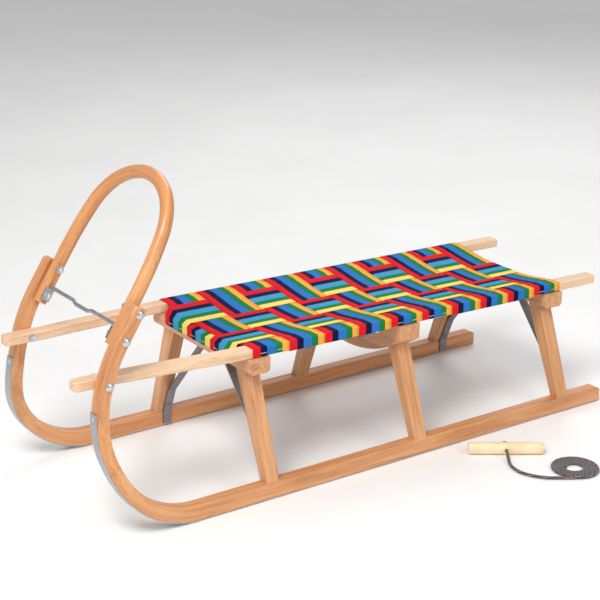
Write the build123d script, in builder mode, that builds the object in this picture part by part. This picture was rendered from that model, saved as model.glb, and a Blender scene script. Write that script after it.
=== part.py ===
"""Horned toboggan: two bent runners on steel shoes, three trestles, two side rails, a woven
webbing seat, a bent-wood horn arch with a steel pull bar, and a loose pull rope with a toggle.

Millimetres. +X points forward, towards the horns, +Y to the rider's left and +Z up.
The origin is on the floor, under the middle of the overall length and width.
"""

import os
from math import asin, atan2, cos, degrees, pi, radians, sin, sqrt, tan

from build123d import *

os.makedirs("parts", exist_ok=True)

# ---------------------------------------------------------------- driving dimensions
# overall
overall_length = 1050.0      # side rail tips to side rail tails
track_width = 378.0          # over the outer faces of the runners at the floor

# runners: one bent board each, upright on the floor and drawn together at the horns
runner_width = 23.0
runner_top = 29.0            # top of the straight part above the floor
shoe_thickness = 2.0
runner_tail_inset = 13.0     # runner tail ahead of the side rail tails
bend_centre_x = 341.0
bend_height = 165.0          # height of the foremost point of the bend
horn_thickness = 21.0
horn_radius = 278.0          # outer radius where the horn leans back
horn_lean = 33.0             # degrees from upright
horn_straight = 58.0         # straight top of the horn
tail_chamfer_length = 10.0
tail_chamfer_drop = 5.0
horn_top_round = 7.0
horn_half_width = 153.0      # outer face of the horn from the middle plane
horn_closing_from = 32.0     # height where the runners start closing in
runner_edge = 2.5            # rounding of the long edges
horn_upright_from = 234.0    # height where the horns stop closing in

# side rails
rail_width = 24.0
rail_height = 15.7
rail_half_width = 145.6      # outer face at the seat, from the middle plane
rail_bottom_front = 238.0    # at the tips
rail_bottom_rear = 213.6     # at the tails
rail_taper_from = 240.0      # the rails close in ahead of this
rail_taper_to = 455.0
rail_tip_radius = 9.0
rail_edge = 2.5

# trestles: a crossbar on two splayed legs
crossbar_length = 300.0
crossbar_width = 41.0
crossbar_height = 27.0
crossbar_lower_edge = 8.0
crossbar_upper_edge = 1.5
trestle_front_x = 208.0
trestle_middle_x = -95.0
trestle_rear_x = -421.0
bow_drop = 46.0              # the middle crossbar's hanging centre below its ends
bow_start = 149.0            # ends of its curved underside, from the middle plane
bow_top_start = 118.0        # ends of its hollowed top, from the middle plane
bow_thickness = 16.0
leg_depth = 26.0             # along the toboggan
leg_foot_width = 21.0
leg_top_width = 32.0
leg_top_offset = 113.0       # middle of the leg's top from the middle plane
leg_edge = 2.5
tenon_depth = 16.0           # along the toboggan
tenon_width = 11.0
tenon_length = 12.0
joint_clearance = 0.1

# horn arch
arch_diameter = 22.0
arch_flat_width = 20.0       # between the flats on its legs
arch_overlap = 72.0          # leg length below the horn tops
arch_straight = 13.0         # leg length above the horn tops
arch_setback = 3.0           # behind the middle of the horns
arch_side_radius = 450.0
arch_side_turn = 12.0
arch_shoulder_radius = 100.0
arch_shoulder_turn = 48.0
upper_bolt_drop = 11.0       # below the horn tops
lower_bolt_drop = 57.0

# pull bar
bar_diameter = 6.5
bar_bend_radius = 4.5
bar_rise = 15.0              # bar above the lower bolts
bar_end = 8.0                # the bar's turned ends stop this far above the lower bolts
bar_tab_thickness = 3.0
bar_tab_width = 16.0
bar_tab_low = 9.0            # tab below the lower bolts
bar_tab_high = 12.0          # tab above the lower bolts
bar_dip_depth = 3.5
bar_dip_half = 20.0          # half length of the dip's floor
bar_dip_slope = 9.0

# carriage bolts, washers and nuts
bolt_diameter = 6.0
bolt_hole = 6.4
bolt_head_diameter = 14.0
bolt_head_height = 3.6
washer_diameter = 13.0
washer_thickness = 1.4
nut_flats = 10.0
nut_height = 5.0
bolt_overhang = 2.0
rail_bolt_x = 478.0

# braces and wood screws
brace_width = 16.0
brace_thickness = 3.0
brace_bend_radius = 8.0
brace_shift = -9.0           # behind the middle of the leg
brace_foot_height = 7.0      # lower end above the floor
brace_leg_height = 76.0      # where it leaves the leg
brace_top_offsets = {"front": 32.0, "rear": 50.0}   # where it meets the crossbar
brace_tab = 24.0
screw_diameter = 4.0
screw_head_diameter = 8.0
screw_head_height = 2.4
screw_length = 14.0
brace_screw_low = 16.0       # heights above the floor
brace_screw_high = 42.0

# countersunk screws
flat_head_diameter = 8.0
flat_head_height = 1.6
shoe_width = 18.0
shoe_tip_height = 205.0      # front end of the shoe above the floor
shoe_screw_gap = 9.0         # front screw from the shoe's front end
shoe_screw_places = (330.0, 80.0, -190.0, -490.0)
rail_screw_diameter = 4.5
rail_screw_length = 28.0

# webbing
first_pitch = 71.0           # room of the foremost crosswise strap, its gap included
pitch_step = 1.2             # each strap behind it has this much less
long_pitch = 71.0            # room of a lengthwise strap
strap_gap = 2.6
strap_thickness = 1.4
strap_count = 10
stapled_straps = (0, 4, 5, 9)    # these end on the rails where a crossbar is below them
seat_front_x = 218.0
seat_sag = 12.0              # the middle strap's lowest line below the rail tops
side_sag = 3.5               # the outer edges of the outer straps
weave_lift = 0.95            # half the distance between crossing straps
strap_clearance = 0.3
strap_tuck = 18.0            # length of the ends under the rails
fold_depth = 14.0            # long straps' turned ends below the crossbar tops
staple_wire = 1.0
staple_length = 11.0
staple_leg = 5.0

# pull rope
rope_diameter = 5.6
toggle_length = 130.0
toggle_diameter = 21.0
toggle_end_radius = 4.0
toggle_hole = 6.4
toggle_x = -215.0
toggle_y = 268.0
toggle_turn = 145.27         # degrees about the upright, from +X
coil_radius = 43.7
coil_hole_radius = 12.1
coil_along = 107.5           # coil centre from the toggle, along the toggle
coil_away = 62.0             # coil centre from the toggle, away from its knot
knot_diameter = 12.0
knot_length = 11.0

# ---------------------------------------------------------------- derived values
tip_x = overall_length / 2
tail_x = -overall_length / 2
runner_half = track_width / 2
runner_inner = runner_half - runner_width
runner_tail_x = tail_x + runner_tail_inset
lean = radians(horn_lean)
bend_radius = bend_height - shoe_thickness
horn_centre_x = bend_centre_x + bend_radius - horn_radius
inner_bend_radius = bend_height - runner_top
horn_inner_radius = horn_radius - horn_thickness
horn_inner_face = horn_half_width - runner_width
horn_middle_radius = horn_radius - horn_thickness / 2
horn_top_x = horn_centre_x + horn_middle_radius * cos(lean) - horn_straight * sin(lean)
horn_top_z = bend_height + horn_middle_radius * sin(lean) + horn_straight * cos(lean)
arch_x = horn_top_x - arch_setback * cos(lean)
arch_z = horn_top_z - arch_setback * sin(lean)
arch_plane = Plane(origin=(arch_x, 0, arch_z), x_dir=(0, 1, 0), z_dir=(cos(lean), 0, sin(lean)))
arch_half = horn_inner_face - arch_flat_width / 2
arch_leg_face = horn_inner_face - arch_flat_width
rail_inner_tip = horn_inner_face - rail_width
rail_slope = (rail_bottom_front - rail_bottom_rear) / overall_length
rail_angle = degrees(atan2(rail_slope, 1))
trestles = {"front": trestle_front_x, "middle": trestle_middle_x, "rear": trestle_rear_x}
sides = {"left": 1, "right": -1}


def rail_bottom(x):
    """Height of the side rails' underside above the floor at x."""
    return rail_bottom_rear + (x - tail_x) * rail_slope


def rail_plane(x):
    """Upright plane across the rails at x, its origin level with their underside."""
    slope = radians(rail_angle)
    return Plane(origin=(x, 0, rail_bottom(x)), x_dir=(0, 1, 0), z_dir=(cos(slope), 0, sin(slope)))


def strap_front(k):
    """Distance back from the seat's front edge to the front of crosswise strap k's room."""
    return k * first_pitch - pitch_step * k * (k - 1) / 2


def strap_width(k):
    """Width of crosswise strap k, without the gap behind it."""
    return first_pitch - pitch_step * k - strap_gap


def write(piece, name):
    """Label a finished piece and write it to its own STEP file."""
    piece.label = name
    export_step(piece, f"parts/{name}.step")


# ---------------------------------------------------------------- shared fastener shapes
def turned(points):
    """Solid of revolution about Z through a closed outline of (radius, height) corners."""
    with BuildPart() as body:
        with BuildSketch(Plane.XZ):
            with BuildLine():
                Polyline(*points, close=True)
            make_face()
        revolve(axis=Axis.Z)
    return body.part


def carriage_bolt(grip):
    """Domed bolt: the head's seat on z = 0, the shank along -Z through a grip."""
    head = bolt_head_diameter / 2
    shank = bolt_diameter / 2
    tip = -grip - washer_thickness - nut_height - bolt_overhang
    rim = 0.8
    dome_radius = (head ** 2 + (bolt_head_height - rim) ** 2) / (2 * (bolt_head_height - rim))
    half_angle = asin(head / dome_radius) / 2
    dome_middle = (dome_radius * sin(half_angle), bolt_head_height - dome_radius * (1 - cos(half_angle)))
    with BuildPart() as body:
        with BuildSketch(Plane.XZ):
            with BuildLine():
                Polyline((0, bolt_head_height), (0, tip), (shank - 0.6, tip), (shank, tip + 0.6),
                         (shank, 0), (head, 0), (head, rim))
                ThreePointArc((head, rim), dome_middle, (0, bolt_head_height))
            make_face()
        revolve(axis=Axis.Z)
    return body.part


def ring(diameter, thickness, bore):
    """Flat washer standing on z = 0, reaching down."""
    with BuildPart() as body:
        with BuildSketch():
            Circle(diameter / 2)
            Circle(bore / 2, mode=Mode.SUBTRACT)
        extrude(amount=-thickness)
    return body.part


def hex_nut():
    """Hexagon nut hanging below z = 0."""
    with BuildPart() as body:
        with BuildSketch():
            RegularPolygon(nut_flats / sqrt(3), 6)
            Circle(bolt_diameter / 2, mode=Mode.SUBTRACT)
        extrude(amount=-nut_height)
    return body.part


def countersunk(length, diameter, head, head_height):
    """Flat-headed wood screw: the head's face on z = 0, the point at -length."""
    shank = diameter / 2
    return turned([(0, 0), (head / 2, 0), (shank, -head_height), (shank, -length + diameter), (0, -length)])


def pan_head(length):
    """Round-headed wood screw: the head's seat on z = 0."""
    head = screw_head_diameter / 2
    shank = screw_diameter / 2
    rise = screw_head_height
    return turned([(0, rise), (0, -length), (shank, -length + screw_diameter), (shank, 0), (head, 0),
                   (head, rise * 0.35), (head * 0.55, rise * 0.9)])


def facing(x, y, z, direction):
    """Location at a point with its Z axis along a direction."""
    return Plane(origin=(x, y, z), z_dir=direction).location


# ---------------------------------------------------------------- places of the fasteners
def on_arch(drop):
    """Point on the arch's leg line, seen from the side, a distance below the horn tops."""
    return (arch_x + drop * sin(lean), arch_z - drop * cos(lean))


upper_bolt = on_arch(upper_bolt_drop)
lower_bolt = on_arch(lower_bolt_drop)
rail_bolt = (rail_bolt_x, rail_bottom(rail_bolt_x) + rail_height / 2)


def both_sides(point, offset, outward=True):
    """Locations on both sides at an offset from the middle plane, their Z axes facing out or in."""
    places = []
    for side in sides.values():
        way = side if outward else -side
        places.append(facing(point[0], side * offset, point[1], (0, way, 0)))
    return places


shoe_tip_angle = degrees(asin((shoe_tip_height - bend_height) / (horn_radius + shoe_thickness)))
tip_screw_angle = radians(shoe_tip_angle - degrees(shoe_screw_gap / horn_radius))


# ---------------------------------------------------------------- runners
def horn_point(radius, along):
    """A point of the leaning horn at a radius, some way along its straight top."""
    x = horn_centre_x + radius * cos(lean) - along * sin(lean)
    return (x, bend_height + radius * sin(lean) + along * cos(lean))


def runner_band(width):
    """Front outline of a runner or shoe: upright, closing in, then upright again."""
    reach = overall_length
    step_in = runner_half - horn_half_width
    rise = horn_upright_from - horn_closing_from
    radius = ((step_in / 2) ** 2 + (rise / 2) ** 2) / step_in
    turn = degrees(atan2(rise / 2, radius - step_in / 2))
    outer = runner_half - (runner_width - width) / 2
    with BuildSketch(Plane.YZ) as band:
        with BuildLine():
            up = Line((outer, -reach), (outer, horn_closing_from))
            low = JernArc(up @ 1, up % 1, radius, turn)
            high = JernArc(low @ 1, low % 1, radius, -turn)
            top = Line(high @ 1, (outer - step_in, reach))
            over = Line(top @ 1, (outer - step_in - width, reach))
            down = Line(over @ 1, (outer - step_in - width, horn_upright_from))
            high_in = JernArc(down @ 1, down % 1, radius, turn)
            low_in = JernArc(high_in @ 1, high_in % 1, radius, -turn)
            foot = Line(low_in @ 1, (outer - width, -reach))
            Line(foot @ 1, up @ 0)
        make_face()
    return band.sketch


runner_outline = runner_band(runner_width)
shoe_outline = runner_band(shoe_width)

with BuildPart() as arch_bolts:
    with Locations(*both_sides(upper_bolt, horn_half_width)):
        add(carriage_bolt(runner_width + arch_flat_width))
    with Locations(*both_sides(lower_bolt, horn_half_width)):
        add(carriage_bolt(runner_width + arch_flat_width + bar_tab_thickness))
write(arch_bolts.part, "arch_bolts")

with BuildPart() as arch_washers:
    with Locations(*both_sides(upper_bolt, arch_leg_face),
                   *both_sides(lower_bolt, arch_leg_face - bar_tab_thickness)):
        add(ring(washer_diameter, washer_thickness, bolt_hole))
write(arch_washers.part, "arch_washers")

with BuildPart() as arch_nuts:
    with Locations(*both_sides(upper_bolt, arch_leg_face - washer_thickness),
                   *both_sides(lower_bolt, arch_leg_face - bar_tab_thickness - washer_thickness)):
        add(hex_nut())
write(arch_nuts.part, "arch_nuts")

with BuildPart() as rail_bolts:
    with Locations(*both_sides(rail_bolt, horn_half_width)):
        add(carriage_bolt(runner_width + rail_width))
write(rail_bolts.part, "rail_bolts")

with BuildPart() as rail_washers:
    with Locations(*both_sides(rail_bolt, rail_inner_tip)):
        add(ring(washer_diameter, washer_thickness, bolt_hole))
write(rail_washers.part, "rail_washers")

with BuildPart() as rail_nuts:
    with Locations(*both_sides(rail_bolt, rail_inner_tip - washer_thickness)):
        add(hex_nut())
write(rail_nuts.part, "rail_nuts")

with BuildPart() as bolt_bores:
    with Locations(*both_sides(upper_bolt, runner_half), *both_sides(lower_bolt, runner_half),
                   *both_sides(rail_bolt, runner_half)):
        Cylinder(bolt_hole / 2, runner_half, align=(Align.CENTER, Align.CENTER, Align.MAX))

# shoe screws: one near the tip of each shoe, the rest along the sole
tip_screw_x = horn_centre_x + (horn_radius + shoe_thickness) * cos(tip_screw_angle)
tip_screw_z = bend_height + (horn_radius + shoe_thickness) * sin(tip_screw_angle)
step_radius = ((runner_half - horn_half_width) ** 2 + (horn_upright_from - horn_closing_from) ** 2) / (
    4 * (runner_half - horn_half_width))
tip_screw_y = horn_half_width - runner_width / 2 + step_radius - sqrt(
    step_radius ** 2 - (horn_upright_from - tip_screw_z) ** 2)

with BuildPart() as shoe_screws:
    for side in sides.values():
        sole_y = side * (runner_half - runner_width / 2)
        places = [facing(x, sole_y, 0, (0, 0, -1)) for x in shoe_screw_places]
        outward = (cos(tip_screw_angle), 0, sin(tip_screw_angle))
        places.append(facing(tip_screw_x, side * tip_screw_y, tip_screw_z, outward))
        with Locations(*places):
            add(countersunk(screw_length, screw_diameter, flat_head_diameter, flat_head_height))
write(shoe_screws.part, "shoe_screws")


# ---------------------------------------------------------------- legs and their tenons
def leg_slopes(name):
    """Inward run per millimetre of height of the outer and inner faces, and the top's height."""
    rise = rail_bottom(trestles[name]) - crossbar_height - runner_top
    outer = (runner_inner + leg_foot_width - leg_top_offset - leg_top_width / 2) / rise
    inner = (runner_inner - leg_top_offset + leg_top_width / 2) / rise
    return outer, inner, rise


def tenon_places(name, side):
    """Middles of the shoulders at the leg's foot and top, their Z axes along the leg."""
    outer, inner, rise = leg_slopes(name)
    run = (outer + inner) / 2
    foot_y = side * (runner_inner + leg_foot_width / 2)
    top_y = foot_y - side * run * rise
    along = (0, -side * run, 1)
    x = trestles[name]
    foot = Plane(origin=(x, foot_y, runner_top), x_dir=(1, 0, 0), z_dir=along)
    top = Plane(origin=(x, top_y, runner_top + rise), x_dir=(1, 0, 0), z_dir=along)
    return [foot.location, top.location]


def tenon_blocks(name, side, clearance):
    """Both tenons of a leg, or the pockets that take them."""
    depth, width = tenon_depth + 2 * clearance, tenon_width + 2 * clearance
    foot, top = tenon_places(name, side)
    root = tenon_length + (bow_drop / 2 if name == "middle" else 0)
    with BuildPart() as blocks:
        with Locations(foot):
            Box(depth, width, 2 * (tenon_length + clearance))
        with Locations(top):
            Box(depth, width, tenon_length + clearance, align=(Align.CENTER, Align.CENTER, Align.MIN))
            Box(depth, width, root, align=(Align.CENTER, Align.CENTER, Align.MAX))
    return blocks.part


pockets = {}
for name in trestles:
    for side_name, side in sides.items():
        pockets[name, side_name] = tenon_blocks(name, side, joint_clearance)

# brace geometry: along the runner and the leg, across to the crossbar, and a tab beneath it
brace_screw_spots = {}
braces = {}
for name in ("front", "rear"):
    outer, inner, rise = leg_slopes(name)
    x = trestles[name] + brace_shift
    brace_top_offset = brace_top_offsets[name]
    head_z = rail_bottom(x - brace_width / 2) - crossbar_height / cos(radians(rail_angle))
    for side_name, side in sides.items():
        leave_y = runner_inner - inner * (brace_leg_height - runner_top)
        tab_end = brace_top_offset - brace_tab
        path_points = [
            (side * runner_inner, brace_foot_height),
            (side * runner_inner, runner_top),
            (side * leave_y, brace_leg_height),
            (side * brace_top_offset, head_z),
            (side * tab_end, head_z),
        ]
        with BuildPart() as brace:
            with BuildSketch(Plane(origin=(x, 0, 0), x_dir=(0, 1, 0), z_dir=(1, 0, 0))):
                with BuildLine():
                    FilletPolyline(*path_points, radius=brace_bend_radius)
                    offset(amount=brace_thickness, side=Side.LEFT if side > 0 else Side.RIGHT)
                make_face()
            extrude(amount=brace_width / 2, both=True)
        slope = radians(degrees(atan2(inner, 1)))
        high_y = side * (runner_inner - inner * (brace_screw_high - runner_top))
        spots = [
            Plane(origin=(x, side * (runner_inner - brace_thickness), brace_screw_low),
                  z_dir=(0, -side, 0)).location,
            (Plane(origin=(x, high_y, brace_screw_high),
                   z_dir=(0, -side * cos(slope), -sin(slope))).offset(brace_thickness)).location,
            Plane(origin=(x, side * (brace_top_offset - brace_tab * 0.55), head_z - brace_thickness),
                  z_dir=(0, 0, -1)).location,
        ]
        brace_screw_spots[name, side_name] = spots
        braces[name, side_name] = brace.part

all_spots = [spot for spots in brace_screw_spots.values() for spot in spots]
with BuildPart() as brace_screws:
    with Locations(*all_spots):
        add(pan_head(screw_length))
write(brace_screws.part, "brace_screws")

for (name, side_name), body in braces.items():
    with BuildPart() as brace:
        add(body)
        add(brace_screws.part, mode=Mode.SUBTRACT)
    write(brace.part, f"brace_{name}_{side_name}")

# rail screws: down through the rails into the crossbars
rail_screw_places = []
for x in trestles.values():
    for side in sides.values():
        plane = rail_plane(x)
        top = plane.from_local_coords((side * (rail_half_width - rail_width / 2), rail_height, 0))
        upward = (-sin(radians(rail_angle)), 0, cos(radians(rail_angle)))
        rail_screw_places.append(facing(top.X, top.Y, top.Z, upward))
with BuildPart() as rail_screws:
    with Locations(*rail_screw_places):
        add(countersunk(rail_screw_length, rail_screw_diameter, flat_head_diameter, flat_head_height))
write(rail_screws.part, "rail_screws")

# ---------------------------------------------------------------- staples
staple_plane_places = []
for k in stapled_straps:
    for share in (0.27, 0.73):
        x = seat_front_x - strap_front(k) - share * strap_width(k)
        for side in sides.values():
            height = rail_bottom(x) + rail_height * 0.45
            spot = Plane(origin=(x, side * (rail_half_width + strap_clearance + strap_thickness), height),
                         x_dir=(1, 0, rail_slope), z_dir=(0, side, 0))
            staple_plane_places.append(spot.location)
long_width = long_pitch - strap_gap
fold_faces = {
    "front": (trestle_front_x + crossbar_width / 2, 1),
    "rear": (trestle_rear_x - crossbar_width / 2, -1),
}
for face_x, way in fold_faces.values():
    for row in (-1, 0, 1):
        for share in (-0.25, 0.25):
            out = face_x + way * (strap_clearance + strap_thickness)
            spot = Plane(origin=(out, row * long_pitch + share * long_width, rail_bottom(face_x) - 8.5),
                         x_dir=(0, 1, 0), z_dir=(way, 0, 0))
            staple_plane_places.append(spot.location)


def staple():
    """Wire staple: crown lying on z = 0, two legs down."""
    with BuildPart() as body:
        with Locations((0, 0, staple_wire / 2)):
            Box(staple_length, staple_wire, staple_wire)
        for end in (-1, 1):
            with Locations((end * (staple_length - staple_wire) / 2, 0, staple_wire / 2)):
                Box(staple_wire, staple_wire, staple_leg, align=(Align.CENTER, Align.CENTER, Align.MAX))
    return body.part


with BuildPart() as webbing_staples:
    with Locations(*staple_plane_places):
        add(staple())
write(webbing_staples.part, "webbing_staples")

# ---------------------------------------------------------------- runner and shoe bodies
for side_name, side in sides.items():
    with BuildPart() as runner:
        with BuildSketch(Plane.XZ):
            with BuildLine():
                sole = Line((runner_tail_x, shoe_thickness), (bend_centre_x, shoe_thickness))
                bend = JernArc(sole @ 1, sole % 1, bend_radius, 90)
                throat = JernArc(bend @ 1, bend % 1, horn_radius, horn_lean)
                front = Line(throat @ 1, horn_point(horn_radius, horn_straight))
                crown = Line(front @ 1, horn_point(horn_inner_radius, horn_straight))
                back = Line(crown @ 1, horn_point(horn_inner_radius, 0))
                nape = JernArc(back @ 1, back % 1, horn_inner_radius, -horn_lean)
                hollow = JernArc(nape @ 1, nape % 1, inner_bend_radius, -90)
                deck = Line(hollow @ 1, (runner_tail_x + tail_chamfer_length, runner_top))
                cut = Line(deck @ 1, (runner_tail_x, runner_top - tail_chamfer_drop))
                Line(cut @ 1, sole @ 0)
            make_face()
            fillet(vertices().group_by(Axis.Y)[-2:], horn_top_round)
        extrude(amount=overall_length, both=True)
        extrude(runner_outline, amount=overall_length, both=True, mode=Mode.INTERSECT)
        upper_edges = [edge for edge in edges() if edge.length > 20 and (edge @ 0.5).Z > shoe_thickness + 1]
        fillet(upper_edges, runner_edge)
        if side < 0:
            mirror(about=Plane.XZ, mode=Mode.REPLACE)
        add(bolt_bores.part, mode=Mode.SUBTRACT)
        add(shoe_screws.part, mode=Mode.SUBTRACT)
        add(brace_screws.part, mode=Mode.SUBTRACT)
        for name in trestles:
            add(pockets[name, side_name], mode=Mode.SUBTRACT)
    write(runner.part, f"runner_{side_name}")

    with BuildPart() as shoe:
        with BuildSketch(Plane.XZ):
            with BuildLine():
                sole = Line((runner_tail_x, 0), (bend_centre_x, 0))
                bend = JernArc(sole @ 1, sole % 1, bend_radius + shoe_thickness, 90)
                throat = JernArc(bend @ 1, bend % 1, horn_radius + shoe_thickness, shoe_tip_angle)
                tip = PolarLine(throat @ 1, shoe_thickness, 180 + shoe_tip_angle)
                nape = JernArc(tip @ 1, -(throat % 1), horn_radius, -shoe_tip_angle)
                hollow = JernArc(nape @ 1, nape % 1, bend_radius, -90)
                deck = Line(hollow @ 1, (runner_tail_x, shoe_thickness))
                Line(deck @ 1, sole @ 0)
            make_face()
        extrude(amount=overall_length, both=True)
        extrude(shoe_outline, amount=overall_length, both=True, mode=Mode.INTERSECT)
        if side < 0:
            mirror(about=Plane.XZ, mode=Mode.REPLACE)
        add(shoe_screws.part, mode=Mode.SUBTRACT)
    write(shoe.part, f"runner_shoe_{side_name}")

# ---------------------------------------------------------------- side rails
for side_name, side in sides.items():
    with BuildPart() as rail:
        with BuildSketch():
            with BuildLine():
                Polyline(
                    (tail_x, rail_half_width), (rail_taper_from, rail_half_width),
                    (rail_taper_to, horn_inner_face), (tip_x, horn_inner_face), (tip_x, rail_inner_tip),
                    (rail_taper_to, rail_inner_tip), (rail_taper_from, rail_half_width - rail_width),
                    (tail_x, rail_half_width - rail_width), close=True)
            make_face()
            fillet(vertices().group_by(Axis.X)[-1], rail_tip_radius)
            fillet(vertices().group_by(Axis.X)[0], rail_edge)
        extrude(amount=overall_length)
        with BuildSketch(Plane.XZ):
            with BuildLine():
                Polyline(
                    (tail_x, rail_bottom_rear), (tip_x, rail_bottom_front),
                    (tip_x, rail_bottom_front + rail_height), (tail_x, rail_bottom_rear + rail_height),
                    close=True)
            make_face()
        extrude(amount=overall_length, both=True, mode=Mode.INTERSECT)
        if side < 0:
            mirror(about=Plane.XZ, mode=Mode.REPLACE)
        long_edges = edges().filter_by(lambda edge: abs((edge % 0.5).Z) < 0.5)
        chamfer(long_edges, rail_edge * 0.6)
        add(bolt_bores.part, mode=Mode.SUBTRACT)
        add(rail_screws.part, mode=Mode.SUBTRACT)
        add(webbing_staples.part, mode=Mode.SUBTRACT)
    write(rail.part, f"side_rail_{side_name}")

# ---------------------------------------------------------------- crossbars
for name, x in trestles.items():
    with BuildPart() as crossbar:
        if name == "middle":
            half = crossbar_length / 2
            with BuildSketch(rail_plane(x)):
                with BuildLine():
                    Polyline((-bow_start, -crossbar_height), (-half, -crossbar_height), (-half, 0),
                             (-bow_top_start, 0))
                    ThreePointArc((-bow_top_start, 0), (0, -crossbar_height - bow_drop + bow_thickness),
                                  (bow_top_start, 0))
                    Polyline((bow_top_start, 0), (half, 0), (half, -crossbar_height),
                             (bow_start, -crossbar_height))
                    ThreePointArc((bow_start, -crossbar_height), (0, -crossbar_height - bow_drop),
                                  (-bow_start, -crossbar_height))
                make_face()
            extrude(amount=crossbar_width / 2, both=True)
            chamfer(edges().filter_by(Axis.Y).group_by(Axis.Z)[-1], crossbar_upper_edge)
        else:
            slope = radians(rail_angle)
            end_plane = Plane(origin=(x, 0, rail_bottom(x)), x_dir=(cos(slope), 0, sin(slope)),
                              z_dir=(0, -1, 0))
            with BuildSketch(end_plane):
                with Locations((0, -crossbar_height / 2)):
                    Rectangle(crossbar_width, crossbar_height)
                fillet(vertices().group_by(Axis.Y)[0], crossbar_lower_edge)
                fillet(vertices().group_by(Axis.Y)[-1], crossbar_upper_edge)
            extrude(amount=crossbar_length / 2, both=True)
        for side_name in sides:
            add(pockets[name, side_name], mode=Mode.SUBTRACT)
        add(rail_screws.part, mode=Mode.SUBTRACT)
        if name != "middle":
            add(brace_screws.part, mode=Mode.SUBTRACT)
            add(webbing_staples.part, mode=Mode.SUBTRACT)
    write(crossbar.part, f"crossbar_{name}")

# ---------------------------------------------------------------- legs
for name, x in trestles.items():
    for side_name, side in sides.items():
        outer, inner, rise = leg_slopes(name)
        spare = rise + 3 * crossbar_height
        keep = rail_plane(x).offset(0)
        with BuildPart() as leg:
            with BuildSketch(Plane.YZ.offset(x)):
                with BuildLine():
                    Polyline(
                        (side * runner_inner, runner_top),
                        (side * (runner_inner + leg_foot_width), runner_top),
                        (side * (runner_inner + leg_foot_width - outer * spare), runner_top + spare),
                        (side * (runner_inner - inner * spare), runner_top + spare), close=True)
                make_face()
            extrude(amount=leg_depth / 2, both=True)
            fillet(edges().filter_by(lambda edge: abs((edge % 0.5).Z) > 0.5), leg_edge)
            seat = Plane(origin=keep.from_local_coords((0, -crossbar_height, 0)),
                         x_dir=(0, 1, 0), z_dir=(-sin(radians(rail_angle)), 0, cos(radians(rail_angle))))
            split(bisect_by=seat, keep=Keep.BOTTOM)
            if name == "middle":
                with BuildSketch(rail_plane(x)):
                    with BuildLine():
                        Line((-bow_start, 0), (-bow_start, -crossbar_height))
                        ThreePointArc((-bow_start, -crossbar_height), (0, -crossbar_height - bow_drop),
                                      (bow_start, -crossbar_height))
                        Polyline((bow_start, -crossbar_height), (bow_start, 0), (-bow_start, 0))
                    make_face()
                extrude(amount=crossbar_width, both=True, mode=Mode.SUBTRACT)
            add(tenon_blocks(name, side, 0))
            if name != "middle":
                add(brace_screws.part, mode=Mode.SUBTRACT)
        write(leg.part, f"leg_{name}_{side_name}")

# ---------------------------------------------------------------- horn arch
with BuildPart() as horn_arch:
    with BuildLine(arch_plane) as arch_line:
        leg_line = Line((arch_half, -arch_overlap), (arch_half, arch_straight))
        flank = JernArc(leg_line @ 1, leg_line % 1, arch_side_radius, arch_side_turn)
        shoulder = JernArc(flank @ 1, flank % 1, arch_shoulder_radius, arch_shoulder_turn)
        crown_turn = 90 - arch_side_turn - arch_shoulder_turn
        local_end = arch_plane.to_local_coords(shoulder @ 1)
        crown_radius = local_end.X / cos(radians(90 - crown_turn))
        crown = JernArc(shoulder @ 1, shoulder % 1, crown_radius, 2 * crown_turn)
        shoulder_2 = JernArc(crown @ 1, crown % 1, arch_shoulder_radius, arch_shoulder_turn)
        flank_2 = JernArc(shoulder_2 @ 1, shoulder_2 % 1, arch_side_radius, arch_side_turn)
        Line(flank_2 @ 1, flank_2 @ 1 + (flank_2 % 1) * (arch_overlap + arch_straight))
    with BuildSketch(Plane(origin=leg_line @ 0, z_dir=leg_line % 0)):
        Circle(arch_diameter / 2)
    sweep(path=arch_line.line)
    flat_depth = arch_diameter / 2
    with BuildSketch(arch_plane):
        for side in sides.values():
            for edge_y in (horn_inner_face + flat_depth / 2, arch_leg_face - flat_depth / 2):
                with Locations((side * edge_y, (arch_straight - arch_overlap) / 2 - arch_straight)):
                    Rectangle(flat_depth, arch_overlap + arch_straight)
    extrude(amount=arch_diameter, both=True, mode=Mode.SUBTRACT)
    add(bolt_bores.part, mode=Mode.SUBTRACT)
write(horn_arch.part, "horn_arch")

# ---------------------------------------------------------------- pull bar
with BuildPart() as pull_bar:
    rod_y = arch_leg_face - bar_diameter / 2
    top = -lower_bolt_drop + bar_rise
    foot = -lower_bolt_drop + bar_end
    half_rod = [(rod_y, foot), (rod_y, top), (bar_dip_half + bar_dip_slope, top),
                (bar_dip_half, top - bar_dip_depth)]
    with BuildLine(arch_plane) as rod_line:
        FilletPolyline(*half_rod, *[(-y, u) for y, u in reversed(half_rod)], radius=bar_bend_radius)
    with BuildSketch(Plane(origin=rod_line.line @ 0, z_dir=rod_line.line % 0)):
        Circle(bar_diameter / 2)
    sweep(path=rod_line.line)
    with BuildSketch(arch_plane):
        for side in sides.values():
            with Locations((side * (arch_leg_face - bar_tab_thickness / 2),
                            -lower_bolt_drop + (bar_tab_high - bar_tab_low) / 2)):
                Rectangle(bar_tab_thickness, bar_tab_high + bar_tab_low)
    extrude(amount=bar_tab_width / 2, both=True)
    add(bolt_bores.part, mode=Mode.SUBTRACT)
write(pull_bar.part, "pull_bar")

# ---------------------------------------------------------------- woven seat
seat_cos = cos(radians(rail_angle))
rows = {1: -1, 2: 0, 3: 1}


def sag(offset):
    """Depth of the cloth below the rail tops at a distance from the middle plane."""
    share = (1.5 * long_pitch - abs(offset)) / long_pitch
    return side_sag + min(max(share, 0), 1) * (seat_sag - side_sag)


def cross_lift(k, row):
    """Raised where crosswise strap k passes over a lengthwise strap, lowered where it dips."""
    return weave_lift if (k + row) % 2 == 0 else -weave_lift


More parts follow.
